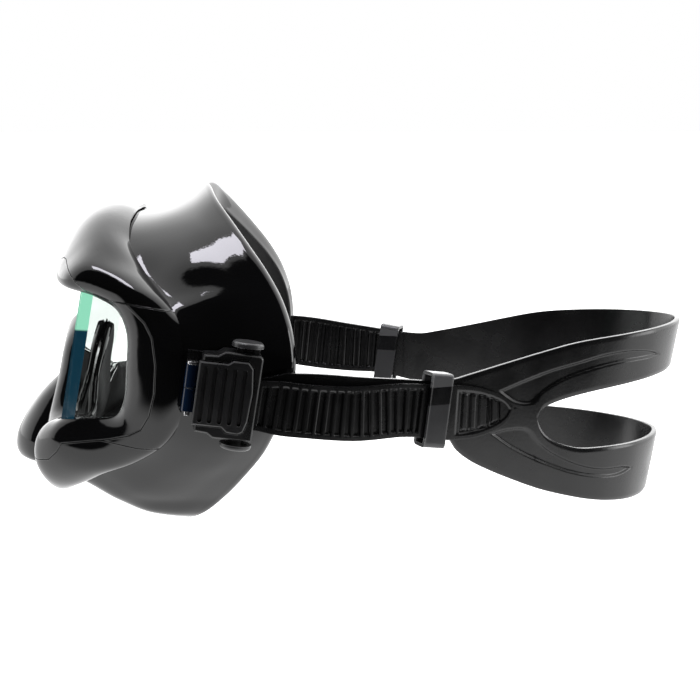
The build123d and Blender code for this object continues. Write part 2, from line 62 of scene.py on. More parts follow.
# ---------------------------------------------------------------- camera
CAMERA_AZIMUTH = 87.5
CAMERA_ELEVATION = 8.5
CAMERA_DISTANCE = 0.55
CAMERA_TARGET = Vector((0, 0.042, 0))
CAMERA_LENS = 76.4
SENSOR_WIDTH = 36
CLIP_START = 0.01


def make_camera():
    """A long lens at the wearer's left, a little above and a little towards the front."""
    az, el = math.radians(CAMERA_AZIMUTH), math.radians(CAMERA_ELEVATION)
    back = Vector((math.sin(az) * math.cos(el), -math.cos(az) * math.cos(el), math.sin(el)))
    data = bpy.data.cameras.new("camera")
    data.lens = CAMERA_LENS
    data.sensor_width = SENSOR_WIDTH
    data.clip_start = CLIP_START
    camera = bpy.data.objects.new("camera", data)
    camera.location = CAMERA_TARGET + back * CAMERA_DISTANCE
    camera.rotation_euler = back.to_track_quat("Z", "Y").to_euler()
    bpy.context.collection.objects.link(camera)
    bpy.context.scene.camera = camera


# ---------------------------------------------------------------- curves and meshes
def flip(points):
    """The same points on the other side of the mid plane."""
    return np.asarray(points, float) * [-1, 1, 1]


def through(run, steps):
    """A smooth curve through run[1:-1]; the first and last points only set its ends."""
    out = []
    for a, b, c, d in zip(run, run[1:], run[2:], run[3:]):
        ta, tb, tc = [max(np.linalg.norm(q - p), 1e-9) ** 0.5 for p, q in ((a, b), (b, c), (c, d))]
        leave = ((b - a) / ta - (c - a) / (ta + tb) + (c - b) / tb) * tb
        reach = ((c - b) / tb - (d - b) / (tb + tc) + (d - c) / tc) * tb
        for k in range(steps):
            t = k / steps
            h0 = 2 * t**3 - 3 * t**2 + 1
            out.append(h0 * b + (t**3 - 2 * t**2 + t) * leave + (1 - h0) * c + (t**3 - t**2) * reach)
    out.append(run[-2])
    return np.array(out)


def smooth_open(points, steps):
    """A smooth curve with free ends."""
    points = np.asarray(points, float)
    return through([2 * points[0] - points[1], *points, 2 * points[-1] - points[-2]], steps)


def smooth_mirrored(points, steps):
    """A smooth curve that crosses the mid plane squarely at both ends."""
    points = np.asarray(points, float)
    return through([flip(points[1]), *points, flip(points[-2])], steps)


def new_mesh(name, verts, faces):
    """A smooth-shaded mesh object; verts are in millimetres."""
    mesh = bpy.data.meshes.new(name)
    mesh.from_pydata([tuple(v) for v in np.asarray(verts) * MM], [], faces)
    mesh.validate()
    mesh.update()
    mesh.polygons.foreach_set("use_smooth", [True] * len(mesh.polygons))
    piece = bpy.data.objects.new(name, mesh)
    bpy.context.collection.objects.link(piece)
    return piece


def grid_normals(grid):
    """Unit normals of a grid of points whose first direction closes on itself."""
    along = np.roll(grid, -1, 0) - np.roll(grid, 1, 0)
    across = np.gradient(grid, axis=1)
    normal = np.cross(along, across)
    return normal / np.maximum(np.linalg.norm(normal, axis=2, keepdims=True), 1e-12)


def ring_faces(count, size):
    """Quads between closed sections that follow each other round a ring."""
    faces = []
    for i in range(count):
        j = (i + 1) % count
        for k in range(size):
            m = (k + 1) % size
            faces.append((i * size + k, j * size + k, j * size + m, i * size + m))
    return faces


def outward(piece):
    """Turn every face outward."""
    bpy.context.view_layer.objects.active = piece
    piece.select_set(True)
    bpy.ops.object.mode_set(mode="EDIT")
    bpy.ops.mesh.select_all(action="SELECT")
    bpy.ops.mesh.normals_make_consistent(inside=False)
    bpy.ops.object.mode_set(mode="OBJECT")
    piece.select_set(False)


# ---------------------------------------------------------------- skirt
WALL = 2.0
LENS_THICK = 4.0
LIP_IN = 7.0
# Lens lip, frame shoulder and frame rear edge at each station round the wearer's left half.
FRAME = [
    ((0, -48.2, 30), (0, -57.5, 46), (0, -47, 54.4), (0, -34, 53.6)),
    ((20, -48.2, 30), (20, -56.6, 45.5), (20, -47.2, 54.2), (20, -33.9, 53.1)),
    ((38, -48.2, 30), (39.5, -53.9, 43.5), (38.5, -46, 51.2), (36, -34.2, 49.4)),
    ((50, -48.2, 29.8), (53, -50.9, 40.5), (52, -43.6, 45.6), (46.5, -33.2, 43)),
    ((58.5, -48, 28.8), (64, -48, 36.5), (62.5, -40, 39), (56.5, -27.5, 34.5)),
    ((63, -42, 26.8), (69.5, -37.5, 32.5), (68.5, -30.5, 33), (64.5, -22, 28.8)),
    ((66, -36, 23.3), (72.8, -29.5, 27.6), (73, -23.5, 27), (70, -18.3, 25)),
    ((67.2, -33, 16), (74.6, -25.5, 18.2), (76, -20, 18.5), (74.8, -15, 18.6)),
    ((67.2, -33.4, 4), (75, -25.5, 4.2), (77, -20, 3.8), (76.2, -14.2, 3)),
    ((66.8, -34.4, -6), (74.2, -26.5, -8.2), (76, -20.5, -9.2), (74.8, -15.2, -9.2)),
    ((65.2, -37, -11), (71.5, -30, -18), (73, -24, -19.6), (71, -18.4, -17.2)),
    ((62.6, -43, -12.6), (67.5, -38.5, -23), (67.2, -32, -26.4), (64.3, -26.8, -24.3)),
    ((58.5, -55.4, -13.6), (61.5, -54, -28), (59.5, -45.5, -32.6), (56, -38, -29.2)),
    ((50, -56.4, -14.6), (52, -64.5, -31.5), (49.5, -57, -38.6), (47.5, -48, -34.2)),
    ((40, -56.9, -16.6), (41, -66, -33.5), (40, -61, -41), (39.5, -53.8, -40)),
    ((31, -57.2, -18.4), (29, -66.3, -31.5), (27, -62, -38.5), (27, -55.5, -38.8)),
    ((25, -56.8, -16), (20.5, -66, -22), (18.6, -63.5, -25), (18, -58, -26)),
]
# Skirt behind the frame, then its face edge.
SKIRT_BACK = [
    ((0, -24, 54.8), (0, -16, 58.2), (0, -9.9, 62.3)),
    ((20, -23, 53.6), (20, -15, 56.8), (20, -7.6, 61.2)),
    ((36, -21, 51), (35.5, -13, 53.8), (34, -5, 57.5)),
    ((47, -18, 46), (47, -8.5, 48.8), (46, 0.8, 50.4)),
    ((57.5, -14, 38.4), (57, -4, 41), (54.5, 6.5, 43)),
    ((65, -8, 31), (64, 1.5, 33.5), (60.4, 12.1, 35.2)),
    ((70.6, -4.5, 25), (69, 6, 26), (64.3, 17.2, 25.8)),
    ((73, -3, 17), (71.4, 9, 15.8), (67.3, 20.4, 14.6)),
    ((73.7, -2.5, 2.5), (72, 9.5, 2.4), (68.4, 21, 2.3)),
    ((72.7, -3, -10), (71.2, 8, -10), (66.4, 18.4, -9.9)),
    ((70.4, -6, -18.6), (69, 5, -19), (63, 14.2, -18.7)),
    ((64.8, -12, -27), (64, 0, -27.2), (59.4, 10.6, -25.8)),
    ((57.6, -22, -34.5), (58, -8, -35), (55, 4.6, -34)),
    ((49, -33, -42), (50.5, -17, -43.4), (49.5, -1.8, -41.8)),
    ((41.5, -40, -45.2), (44, -27, -49.6), (43.5, -10, -49.4)),
    ((30, -38, -44), (33, -27, -50), (35, -17.5, -52.6)),
]
# Round the nose: seat, neck, bridge, tip, nostril, underside, face edge.
SKIRT_NOSE = [
    ((21.5, -51, -17), (17, -53.5, -24.6), (18.4, -60, -28.5), (18.6, -63, -32.5),
     (18.4, -60, -37.6), (20, -42, -40.4), (25, -19, -52.6)),
    ((17.4, -50, -5), (10.8, -53, -11.5), (13.4, -68, -20), (16.2, -72.5, -29.5),
     (15.5, -71.5, -37), (15, -46, -39.6), (16, -20.3, -51)),
    ((11, -47.6, 5), (6, -53.6, -1.8), (8.4, -71.6, -17), (9.6, -78.6, -29.6),
     (9, -77.2, -37.2), (8.5, -48, -39.6), (8, -20.8, -49.8)),
    ((0, -46.4, 11.6), (0, -53, 2.8), (0, -72.2, -15), (0, -80.8, -30),
     (0, -79.6, -37.4), (0, -50, -39.8), (0, -21, -49.4)),
]
COLUMNS = 8               # control points across each finished section, the lip's tip included
RING_STEPS = 7
ACROSS_STEPS = 9
RIM_POINTS = 6
CLEARANCE = 0.45          # between the skirt and the rigid frame over it
COVER_WALL = 2.2          # thickness of the frame at its shoulder
HEM_WALL = 1.3            # and at its rear edge
SEAT_GAP = 0.6            # from the lens to the skirt's seat
LIP_LEAN = -0.1           # how far the face lip leans back for each millimetre inward
NOSE_LIP_LEAN = 0.3
BEAD_HEIGHT = 0.35
BEAD_AT = 5.8             # place of the bead across the section, in control points
BEAD_HALF = 0.1
WALL_FADE = ([0, 5, 6, 7], [1, 1, 0.75, 0.4])


def unit(v):
    """A vector of length one."""
    return v / np.linalg.norm(v)


def unit_rows(rows):
    """Each row scaled to length one."""
    return rows / np.maximum(np.linalg.norm(rows, axis=1, keepdims=True), 1e-12)


def skirt_sections():
    """Control points of each section, seat to lip, from the brow round to the nose."""
    table = np.array(FRAME, float)
    sections = []
    for k, back in enumerate(np.array(SKIRT_BACK, float)):
        lip, crown, shoulder, hem = table[k]
        ahead = table[k - 1] if k else flip(table[1])
        after = table[k + 1]
        inset = []
        for j, start, wall in ((2, crown, COVER_WALL), (3, shoulder, HEM_WALL)):
            normal = unit(np.cross(after[j] - ahead[j], hem - start))
            inset.append(table[k][j] - normal * (wall + CLEARANCE))
        inward = unit(np.array([-back[0][0], 0, -back[0][2]]))
        seat = lip + [0, LENS_THICK + SEAT_GAP, 0] + inward * SEAT_GAP
        sections.append([seat, (seat + inset[0]) / 2, *inset, *back])
    sections += [[np.array(p, float) for p in row] for row in SKIRT_NOSE]
    for k, row in enumerate(sections):
        edge = row[-1]
        lean = LIP_LEAN if k < len(SKIRT_BACK) else NOSE_LIP_LEAN
        inward = unit(np.array([-edge[0], 0, -edge[2]]))
        row.append(edge + inward * LIP_IN + [0, lean * LIP_IN, 0])
    return np.array(sections)


def skirt_piece(outside, lining):
    """The whole moulded skirt with its nose pocket, as one closed skin."""
    control = skirt_sections()
    half = np.stack([smooth_mirrored(control[:, j], RING_STEPS) for j in range(COLUMNS)], 1)
    ring = np.concatenate([half, flip(half[::-1][1:-1])])
    grid = np.array([smooth_open(row, ACROSS_STEPS) for row in ring])
    normals = grid_normals(grid)
    count = grid.shape[1]
    v = np.linspace(0, COLUMNS - 1, count)
    wall = WALL * np.interp(v, *WALL_FADE)
    bead = BEAD_HEIGHT * np.exp(-((v - BEAD_AT) / BEAD_HALF) ** 2)
    outer = grid + normals * bead[None, :, None]
    inner = grid - normals * wall[None, :, None]
    tip = unit_rows(grid[:, -1] - grid[:, -2])
    loops = [outer[:, k] for k in range(count)]
    middle = (outer[:, -1] + inner[:, -1]) / 2
    arm = (outer[:, -1] - inner[:, -1]) / 2
    radius = np.linalg.norm(arm, axis=1, keepdims=True)
    for k in range(1, RIM_POINTS):
        turn = math.pi * k / RIM_POINTS
        loops.append(middle + arm * math.cos(turn) + tip * radius * math.sin(turn))
    loops += [inner[:, k] for k in reversed(range(count))]
    loops = np.stack(loops, 1)
    verts = loops.reshape(-1, 3)
    size = loops.shape[1]
    piece = new_mesh("skirt_skin", verts, ring_faces(len(loops), size))
    piece.data.materials.append(outside)
    piece.data.materials.append(lining)
    inside = [count <= n % size < size - 1 for n in range(len(piece.data.polygons))]
    piece.data.polygons.foreach_set("material_index", np.array(inside, np.int32))
    outward(piece)
    return piece


# ---------------------------------------------------------------- strap
HINGE = np.array([77.8, -12.2, 0.0])
DROP = math.radians(8)
TOE = math.radians(6)
ALONG = np.array([-math.sin(TOE) * math.cos(DROP), math.cos(TOE) * math.cos(DROP), -math.sin(DROP)])
PIN = unit(np.array([0, -ALONG[2], ALONG[1]]))
OUT = np.cross(ALONG, PIN)
BAND_PLAN = [(75.9, 10), (73.8, 24), (69.4, 40), (63.2, 56.5), (57.2, 72.5), (52, 87), (48, 100),
             (44.3, 114), (40.4, 128), (35.2, 139.6), (26.6, 151.2), (14, 160.7), (0, 164.8)]
TAIL_PLAN = [(80.6, 12), (77.8, 24), (72.2, 40), (65.4, 57.3), (59.4, 73.3), (54.2, 87.8), (51.3, 96.5)]
BAND_TOP = [(9, 4.6), (22.8, 3.7), (42.2, 1.4), (58.8, -0.6), (73.6, -1.6), (80, -0.4), (95, 3),
            (106, 5.6), (120, 8.6), (137.5, 10.4), (170, 12.6)]
BAND_LOW = [(9, -14.6), (33.6, -18.2), (60, -18.9), (72, -21.4), (76, -26.2), (81, -30), (88, -33.6),
            (98.4, -38), (110, -42.2), (122, -45.4), (136, -48.4), (154, -50.8), (170, -51.5)]
SLOT_TOP = [(106.4, -17.2), (108, -14.2), (112, -12.2), (124.5, -9.3), (150.7, -6.4), (175, -5)]
SLOT_LOW = [(106.4, -17.2), (108.2, -20.8), (112.4, -24.6), (122.6, -28.4), (139.4, -29.4), (175, -29.6)]
LEAN = 0.14
LEAN_FROM = 72.0
LEAN_TOP = 20.0
LEAN_SPAN = 74.0
BAND_THICK = 2.0
LOOKUP_STEPS = 8
SOFT_RIM = 0.55
RIM_SEGMENTS = 3
RIM_ANGLE = math.radians(50)


def local(back, up, out):
    """A point given in the left buckle's own frame."""
    return HINGE + ALONG * back + PIN * up + OUT * out


def lookup(table, y):
    """Smooth reading of an edge line at a given distance back."""
    line = smooth_open(np.array(table, float), LOOKUP_STEPS)
    return np.interp(y, line[:, 0], line[:, 1])


def lean_back(y, z):
    """Distance back of a point of the band at height z."""
    short = 1 - LEAN * (LEAN_TOP - z) / LEAN_SPAN
    return np.where(y < LEAN_FROM, y, LEAN_FROM + (y - LEAN_FROM) * short)


def rim_shell(name, outer, inner, quads):
    """A closed piece from matching outer and inner skins; open edges get a rim."""
    count = len(outer)
    verts = np.concatenate([outer, inner])
    edges = {}
    for quad in quads:
        for a, b in zip(quad, quad[1:] + quad[:1]):
            edges[(a, b)] = edges.get((a, b), 0) + 1
    faces = list(quads)
    faces += [tuple(a + count for a in reversed(quad)) for quad in quads]
    for (a, b) in edges:
        if (b, a) not in edges:
            faces.append((b, a, a + count, b + count))
    piece = new_mesh(name, verts, faces)
    outward(piece)
    bevel = piece.modifiers.new("soft_rim", "BEVEL")
    bevel.width = SOFT_RIM * MM
    bevel.segments = RIM_SEGMENTS
    bevel.limit_method = "ANGLE"
    bevel.angle_limit = RIM_ANGLE
    return piece


def sheet_quads(columns, rows, offset=0):
    """Quads of a grid stored column by column, from a first vertex number."""
    quads = []
    for i in range(columns - 1):
        for k in range(rows - 1):
            a = offset + i * rows + k
            quads.append((a, a + rows, a + rows + 1, a + 1))
    return quads


def soft_step(x, low, high):
    """0 below low, 1 above high, smooth between."""
    t = np.clip((x - low) / (high - low), 0, 1)
    return t * t * (3 - 2 * t)


YOKE_STEPS = 24
YOKE_ROWS = 56
YOKE_FROM = 66.0
SPLIT_HEIGHT = -17.2
# Upper and lower edges of the long leaf-shaped hollow in each half of the yoke.
UPPER_LEAF = ([(90.7, -6.7), (100, -3.5), (110.7, -0.2), (120.5, 2), (130.5, 4.2), (141.5, 4.8), (151, 3.2),
               (154.4, 1.3)],
              [(90.7, -6.7), (98, -11.4), (104, -11.8), (107.5, -8.6), (114, -4.9), (123, -2), (135.5, 0.3),
               (148.5, 0.9), (154.4, 1.3)])
LOWER_LEAF = ([(88.3, -21.1), (94.2, -19.9), (102.6, -20.4), (107.3, -24.8), (113, -28.9), (124.3, -33.9),
               (134.5, -36.5), (146.2, -37.4), (150.8, -38.8)],
              [(88.3, -21.1), (97.2, -27), (108, -32.2), (119.4, -36.5), (131.5, -39.5), (143.1, -40.6),
               (150.8, -38.8)])
LEAF_DEPTH = 0.8
LEAF_SIDE = 0.9
ROUND_EDGE = 1.6
ROUND_DROP = 0.5


def yoke_piece():
    """The moulded band round the back of the head, from keeper to keeper."""
    flat = np.array([(x, y, 0) for x, y in BAND_PLAN], float)
    run = [2 * flat[0] - flat[1], *flat, flip(flat[-2])]
    half = through(run, YOKE_STEPS)
    half = half[half[:, 1] > YOKE_FROM]
    line = np.concatenate([half, flip(half[::-1][1:])])
    count = len(line)
    reach = line[:, 1]
    tangent = unit_rows(np.gradient(line, axis=0))
    side = np.stack([tangent[:, 1], -tangent[:, 0], np.zeros(count)], 1)
    apex = SLOT_TOP[0][0]
    outer, inner, quads = [], [], []
    top = lookup(BAND_TOP, reach)
    low = lookup(BAND_LOW, reach)
    slot_top = np.where(reach < apex, SPLIT_HEIGHT, lookup(SLOT_TOP, reach))
    slot_low = np.where(reach < apex, SPLIT_HEIGHT, lookup(SLOT_LOW, reach))
    share = np.linspace(0, 1, YOKE_ROWS)
    for part, (high, bottom, leaf) in enumerate(((top, slot_top, UPPER_LEAF), (slot_low, low, LOWER_LEAF))):
        for i in range(count):
            z = high[i] + (bottom[i] - high[i]) * share
            base = np.stack([np.full(YOKE_ROWS, line[i, 0]), lean_back(reach[i], z), z], 1)
            rim = np.minimum(top[i] - z, z - low[i])
            if reach[i] > apex:
                rim = np.minimum(rim, np.minimum(high[i] - z, z - bottom[i]))
            lift = leaf_hollow(reach[i], z, leaf) + rounded_edge(rim)
            outer.append(base + side[i] * (BAND_THICK / 2 + lift)[:, None])
            inner.append(base - side[i] * BAND_THICK / 2)
        quads += sheet_quads(count, YOKE_ROWS, part * count * YOKE_ROWS)
    outer, inner = np.concatenate(outer), np.concatenate(inner)
    keep, where = merge_close(inner)
    quads = [tuple(where[a] for a in quad) for quad in quads]
    return rim_shell("strap_yoke_skin", outer[keep], inner[keep], quads)


def merge_close(points):
    """Index of the first point at each place, and where every point went."""
    seen, keep, where = {}, [], []
    for n, p in enumerate(np.round(points, 3)):
        key = tuple(p)
        if key not in seen:
            seen[key] = len(keep)
            keep.append(n)
        where.append(seen[key])
    return keep, where


def leaf_hollow(reach, z, leaf):
    """Depth of a leaf-shaped hollow at the heights z; leaf holds its upper and lower edges."""
    over, under = leaf
    if not over[0][0] < reach < over[-1][0]:
        return np.zeros_like(z)
    depth = np.minimum(lookup(over, reach) - z, z - lookup(under, reach))
    return -LEAF_DEPTH * soft_step(depth, 0, LEAF_SIDE)


def rounded_edge(distance):
    """How far the outer face falls away within a short distance of the edge."""
    near = np.clip(1 - distance / ROUND_EDGE, 0, 1)
    return -ROUND_DROP * near**2


def strap_sheet(name, centres, ups, outs, tops, lows, thick, depth):
    """A flat strap along centres; depth(i, share, width) says how far the outer face is lifted."""
    share = np.linspace(0, 1, STRAP_ROWS)
    outer, inner = [], []
    for i, c in enumerate(centres):
        lift = depth(i, share, tops[i] - lows[i])
        for k in range(STRAP_ROWS):
            up = tops[i] + (lows[i] - tops[i]) * share[k]
            base = c + ups[i] * up
            outer.append(base + outs[i] * (thick[i] / 2 + lift[k]))
            inner.append(base - outs[i] * thick[i] / 2)
    return rim_shell(name, np.array(outer), np.array(inner), sheet_quads(len(centres), STRAP_ROWS))


STRAP_ROWS = 49
RIB_PITCH = 3.2
RIB_HOLLOW = 1.5
RIB_DEPTH = 1.05
RIB_SIDE = 0.3
RIB_END = 62.0
RIB_BORDER = 2.0
ROLLER_BACK = 9.0
ROLLER_OUT = 3.1
TURN_R = 2.26
TURN_STEP = 45            # degrees between the route's points round the roller
BEHIND_ROLLER = (12, 16, 22)
ROUTE_FROM = 20           # the strap leaves the buckle's own straight run here
ROUTE_TO = 80
ROUTE_STEPS = 40
WRAP_MID = -2.4
WRAP_HALF = 8.0
WRAP_THICK = 1.5
WRAP_FADE = (21, 32)      # from the buckle's width to the strap's own, behind the hinge
TAIL_TOP = [(10, 3), (22.7, 0.8), (45.3, -1.6), (62, -1.5), (72.4, -3), (82.9, -4.8), (91.6, -8.2),
            (94.6, -12.5)]
TAIL_LOW = [(10, -15), (22.7, -16.4), (45.3, -19.4), (62, -19.2), (72, -21.4), (83.1, -21.1),
            (91.7, -17.2), (94.6, -12.5)]
TAB_BARS = ((77.5, 2.2), (80.5, 2.7), (84.1, 3.3), (88.2, 2.9))    # place and width of each bar
TAB_GROOVE = 0.45
TAB_GROOVE_DEPTH = 0.6
TAB_FIELD = 0.3
TAB_BORDER = 1.5
TAB_END_GAP = 2.6
TAB_SOFT = 0.3
TAB_FROM = (74.2, 75)
TAB_RIM_SOFT = 0.5
RUN_END = 69.0
ROUTE_STEP = 0.28


def strap_route():
    """Centre line of the left strap end, and the distance along it from the turn round the roller."""
    run = []
    for x, y in reversed(BAND_PLAN):
        if ROUTE_FROM < y < ROUTE_TO:
            run.append((x, y, band_middle(y)))
    for back in reversed(BEHIND_ROLLER):
        run.append(local(back, WRAP_MID, ROLLER_OUT - TURN_R))
    for degrees in range(0, 181, TURN_STEP):
        turn = math.radians(degrees)
        back = ROLLER_BACK - TURN_R * math.sin(turn)
        run.append(local(back, WRAP_MID, ROLLER_OUT - TURN_R * math.cos(turn)))
    turned = len(run) - 3
    for back in BEHIND_ROLLER:
        run.append(local(back, WRAP_MID, ROLLER_OUT + TURN_R))
    for x, y in TAIL_PLAN:
        if y > ROUTE_FROM:
            run.append((x, y, tail_middle(y)))
    dense = smooth_open(run, ROUTE_STEPS)
    gaps = np.linalg.norm(np.diff(dense, axis=0), axis=1)
    length = np.concatenate([[0], np.cumsum(gaps)])
    even = np.arange(0, length[-1], ROUTE_STEP)
    line = np.stack([np.interp(even, length, dense[:, k]) for k in range(3)], 1)
    middle = length[turned * ROUTE_STEPS]
    keep = (line[:, 1] < RUN_END) | (even > middle)
    return line[keep], (even - middle)[keep]


def band_middle(y):
    """Height of the middle of the strap between the buckle and the keeper."""
    return float((lookup(BAND_TOP, y) + lookup(BAND_LOW, y)) / 2)


def tail_middle(y):
    """Height of the middle of the ribbed tail."""
    return float((lookup(TAIL_TOP, y) + lookup(TAIL_LOW, y)) / 2)


def strap_piece():
    """Left strap end: in from the keeper, round the roller, back out as the ribbed tail."""
    line, along = strap_route()
    tangent = unit_rows(np.gradient(line, axis=0))
    ups, outs, tops, lows, thick = [], [], [], [], []
    for i, p in enumerate(line):
        inside = soft_step(-(p - HINGE) @ ALONG, -WRAP_FADE[1], -WRAP_FADE[0])
        up = unit(np.array([0, 0, 1]) * (1 - inside) + PIN * inside)
        up = unit(up - tangent[i] * (up @ tangent[i]))
        ups.append(up)
        out = np.cross(tangent[i], up)
        outs.append(out)
        if along[i] < 0:
            wide = (lookup(BAND_TOP, p[1]) - lookup(BAND_LOW, p[1])) / 2
        else:
            wide = (lookup(TAIL_TOP, p[1]) - lookup(TAIL_LOW, p[1])) / 2
        half = wide * (1 - inside) + WRAP_HALF * inside
        tops.append(half)
        lows.append(-half)
        thick.append(BAND_THICK * (1 - inside) + WRAP_THICK * inside)

    def depth(i, share, width):
        """Cross grooves of the ribbed face, up to the tab with its own relief and the plain inner run."""
        s = along[i]
        edge = np.minimum(share, 1 - share) * width
        y = line[i][1]
        if y > RIB_END:
            return tab_relief(y, edge) if s > 0 else np.zeros_like(share)
        phase = (s / RIB_PITCH) % 1.0
        away = abs(phase - 0.5) * RIB_PITCH
        hollow = 1 - soft_step(np.maximum(away - RIB_HOLLOW / 2, RIB_BORDER - edge), 0, RIB_SIDE)
        return -RIB_DEPTH * hollow

    return strap_sheet("strap_end_skin_left", line, ups, outs, tops, lows, thick, depth)


def tab_relief(y, edge):
    """The sunk field of the shield-shaped tab, with a thin groove round each of its bars."""
    groove = np.zeros_like(edge)
    for middle, width in TAB_BARS:
        away = np.maximum(abs(y - middle) - width / 2, TAB_END_GAP - edge)
        groove = np.maximum(groove, 1 - soft_step(np.abs(away), TAB_GROOVE / 2, TAB_GROOVE / 2 + TAB_SOFT))
    field = soft_step(y, *TAB_FROM) * soft_step(edge, TAB_BORDER, TAB_BORDER + TAB_RIM_SOFT)
    return -TAB_GROOVE_DEPTH * groove - TAB_FIELD * field


def mirrored_copy(piece, name):
    """The wearer's right-hand copy of a left-hand piece."""
    mesh = piece.data.copy()
    mesh.transform(((-1, 0, 0, 0), (0, 1, 0, 0), (0, 0, 1, 0), (0, 0, 0, 1)))
    mesh.flip_normals()
    copy = bpy.data.objects.new(name, mesh)
    bpy.context.collection.objects.link(copy)
    for mod in piece.modifiers:
        bevel = copy.modifiers.new(mod.name, mod.type)
        bevel.width = mod.width
        bevel.segments = mod.segments
        bevel.limit_method = mod.limit_method
        bevel.angle_limit = mod.angle_limit
    return copy


# ---------------------------------------------------------------- materials
def new_material(name):
    """A material with its Principled shader, node maker and linker."""
    mat = bpy.data.materials.new(name)
    mat.use_nodes = True
    tree = mat.node_tree
    shader = tree.nodes["Principled BSDF"]
    return mat, tree, shader


def noise(tree, scale, detail):
    """Noise in object space."""
    where = tree.nodes.new("ShaderNodeTexCoord")
    texture = tree.nodes.new("ShaderNodeTexNoise")
    texture.inputs["Scale"].default_value = scale
    texture.inputs["Detail"].default_value = detail
    tree.links.new(where.outputs["Object"], texture.inputs["Vector"])
    return texture.outputs["Fac"]


def remap(tree, value, low, high):
    """Spread a 0.3 to 0.7 noise over a range."""
    node = tree.nodes.new("ShaderNodeMapRange")
    node.inputs["From Min"].default_value = 0.3
    node.inputs["From Max"].default_value = 0.7
    node.inputs["To Min"].default_value = low
    node.inputs["To Max"].default_value = high
    tree.links.new(value, node.inputs["Value"])
    return node.outputs["Result"]


def tint(tree, value, dark, light):
    """Mix two colours by a value."""
    mix = tree.nodes.new("ShaderNodeMix")
    mix.data_type = "RGBA"
    mix.inputs["A"].default_value = (*dark, 1)
    mix.inputs["B"].default_value = (*light, 1)
    tree.links.new(value, mix.inputs["Factor"])
    return mix.outputs["Result"]


def surface_relief(tree, shader, layers, edge=0.0):
    """Stack bumps of (height, strength, distance), over rounded edges."""
    normal = None
    if edge:
        bevel = tree.nodes.new("ShaderNodeBevel")
        bevel.samples = 6
        bevel.inputs["Radius"].default_value = edge
        normal = bevel.outputs["Normal"]
    for height, strength, distance in layers:
        bump = tree.nodes.new("ShaderNodeBump")
        bump.inputs["Strength"].default_value = strength
        bump.inputs["Distance"].default_value = distance
        tree.links.new(height, bump.inputs["Height"])
        if normal:
            tree.links.new(normal, bump.inputs["Normal"])
        normal = bump.outputs["Normal"]
    tree.links.new(normal, shader.inputs["Normal"])


FLOW_NOISE = (35, 3)      # scale and detail of each noise
SMEAR_NOISE = (110, 6)
PEEL_NOISE = (55, 2)
GRAIN_NOISE = (900, 2)


def moulded(name, dark, light, rough, peel, edge=0.0, grain=0.0):
    """Moulded plastic or silicone: faint flow marks, uneven polish, soft waves and a fine grain."""
    mat, tree, shader = new_material(name)
    flow = remap(tree, noise(tree, *FLOW_NOISE), 0, 1)
    tree.links.new(tint(tree, flow, dark, light), shader.inputs["Base Color"])
    tree.links.new(remap(tree, noise(tree, *SMEAR_NOISE), *rough), shader.inputs["Roughness"])
    layers = [(noise(tree, *PEEL_NOISE), 1.0, peel)]
    if grain:
        layers.append((noise(tree, *GRAIN_NOISE), 1.0, grain))
    surface_relief(tree, shader, layers, edge)
    return mat


END_NORMAL = (0.907, 0.421, 0)        # the slanted cut at each end of the front lens
END_REACH = (0.0712, 0.0716)          # distance of that cut from the middle
PAINTED_GLOW_BREAK = (0.0152, 0.0160)          # height where the painted mint glow gives way to painted deep blue
# Painted light on the cut ends of the front lens: a mint glow and a deep blue, in place of light let through
# the glass
PAINTED_GLOW_MINT = (0.32, 0.78, 0.56)
PAINTED_GLOW_DEEP_BLUE = (0.003, 0.03, 0.055)


def stepped(tree, value, low, high):
    """0 below low and 1 above high, smooth between."""
    node = tree.nodes.new("ShaderNodeMapRange")
    node.interpolation_type = "SMOOTHSTEP"
    node.inputs["From Min"].default_value = low
    node.inputs["From Max"].default_value = high
    tree.links.new(value, node.inputs["Value"])
    return node.outputs["Result"]


def pane(tree):
    """Clear thin glass: see-through, with a mirror coat that grows at grazing angles."""
    clear = tree.nodes.new("ShaderNodeBsdfTransparent")
    clear.inputs["Color"].default_value = (0.98, 1.0, 0.99, 1)
    mirror = tree.nodes.new("ShaderNodeBsdfGlossy")
    tree.links.new(remap(tree, noise(tree, 60, 5), 0.0, 0.03), mirror.inputs["Roughness"])
    grazing = tree.nodes.new("ShaderNodeFresnel")
    grazing.inputs["IOR"].default_value = 1.5
    mix = tree.nodes.new("ShaderNodeMixShader")
    tree.links.new(grazing.outputs["Fac"], mix.inputs["Fac"])
    tree.links.new(clear.outputs["BSDF"], mix.inputs[1])
    tree.links.new(mirror.outputs["BSDF"], mix.inputs[2])
    return mix.outputs["Shader"]


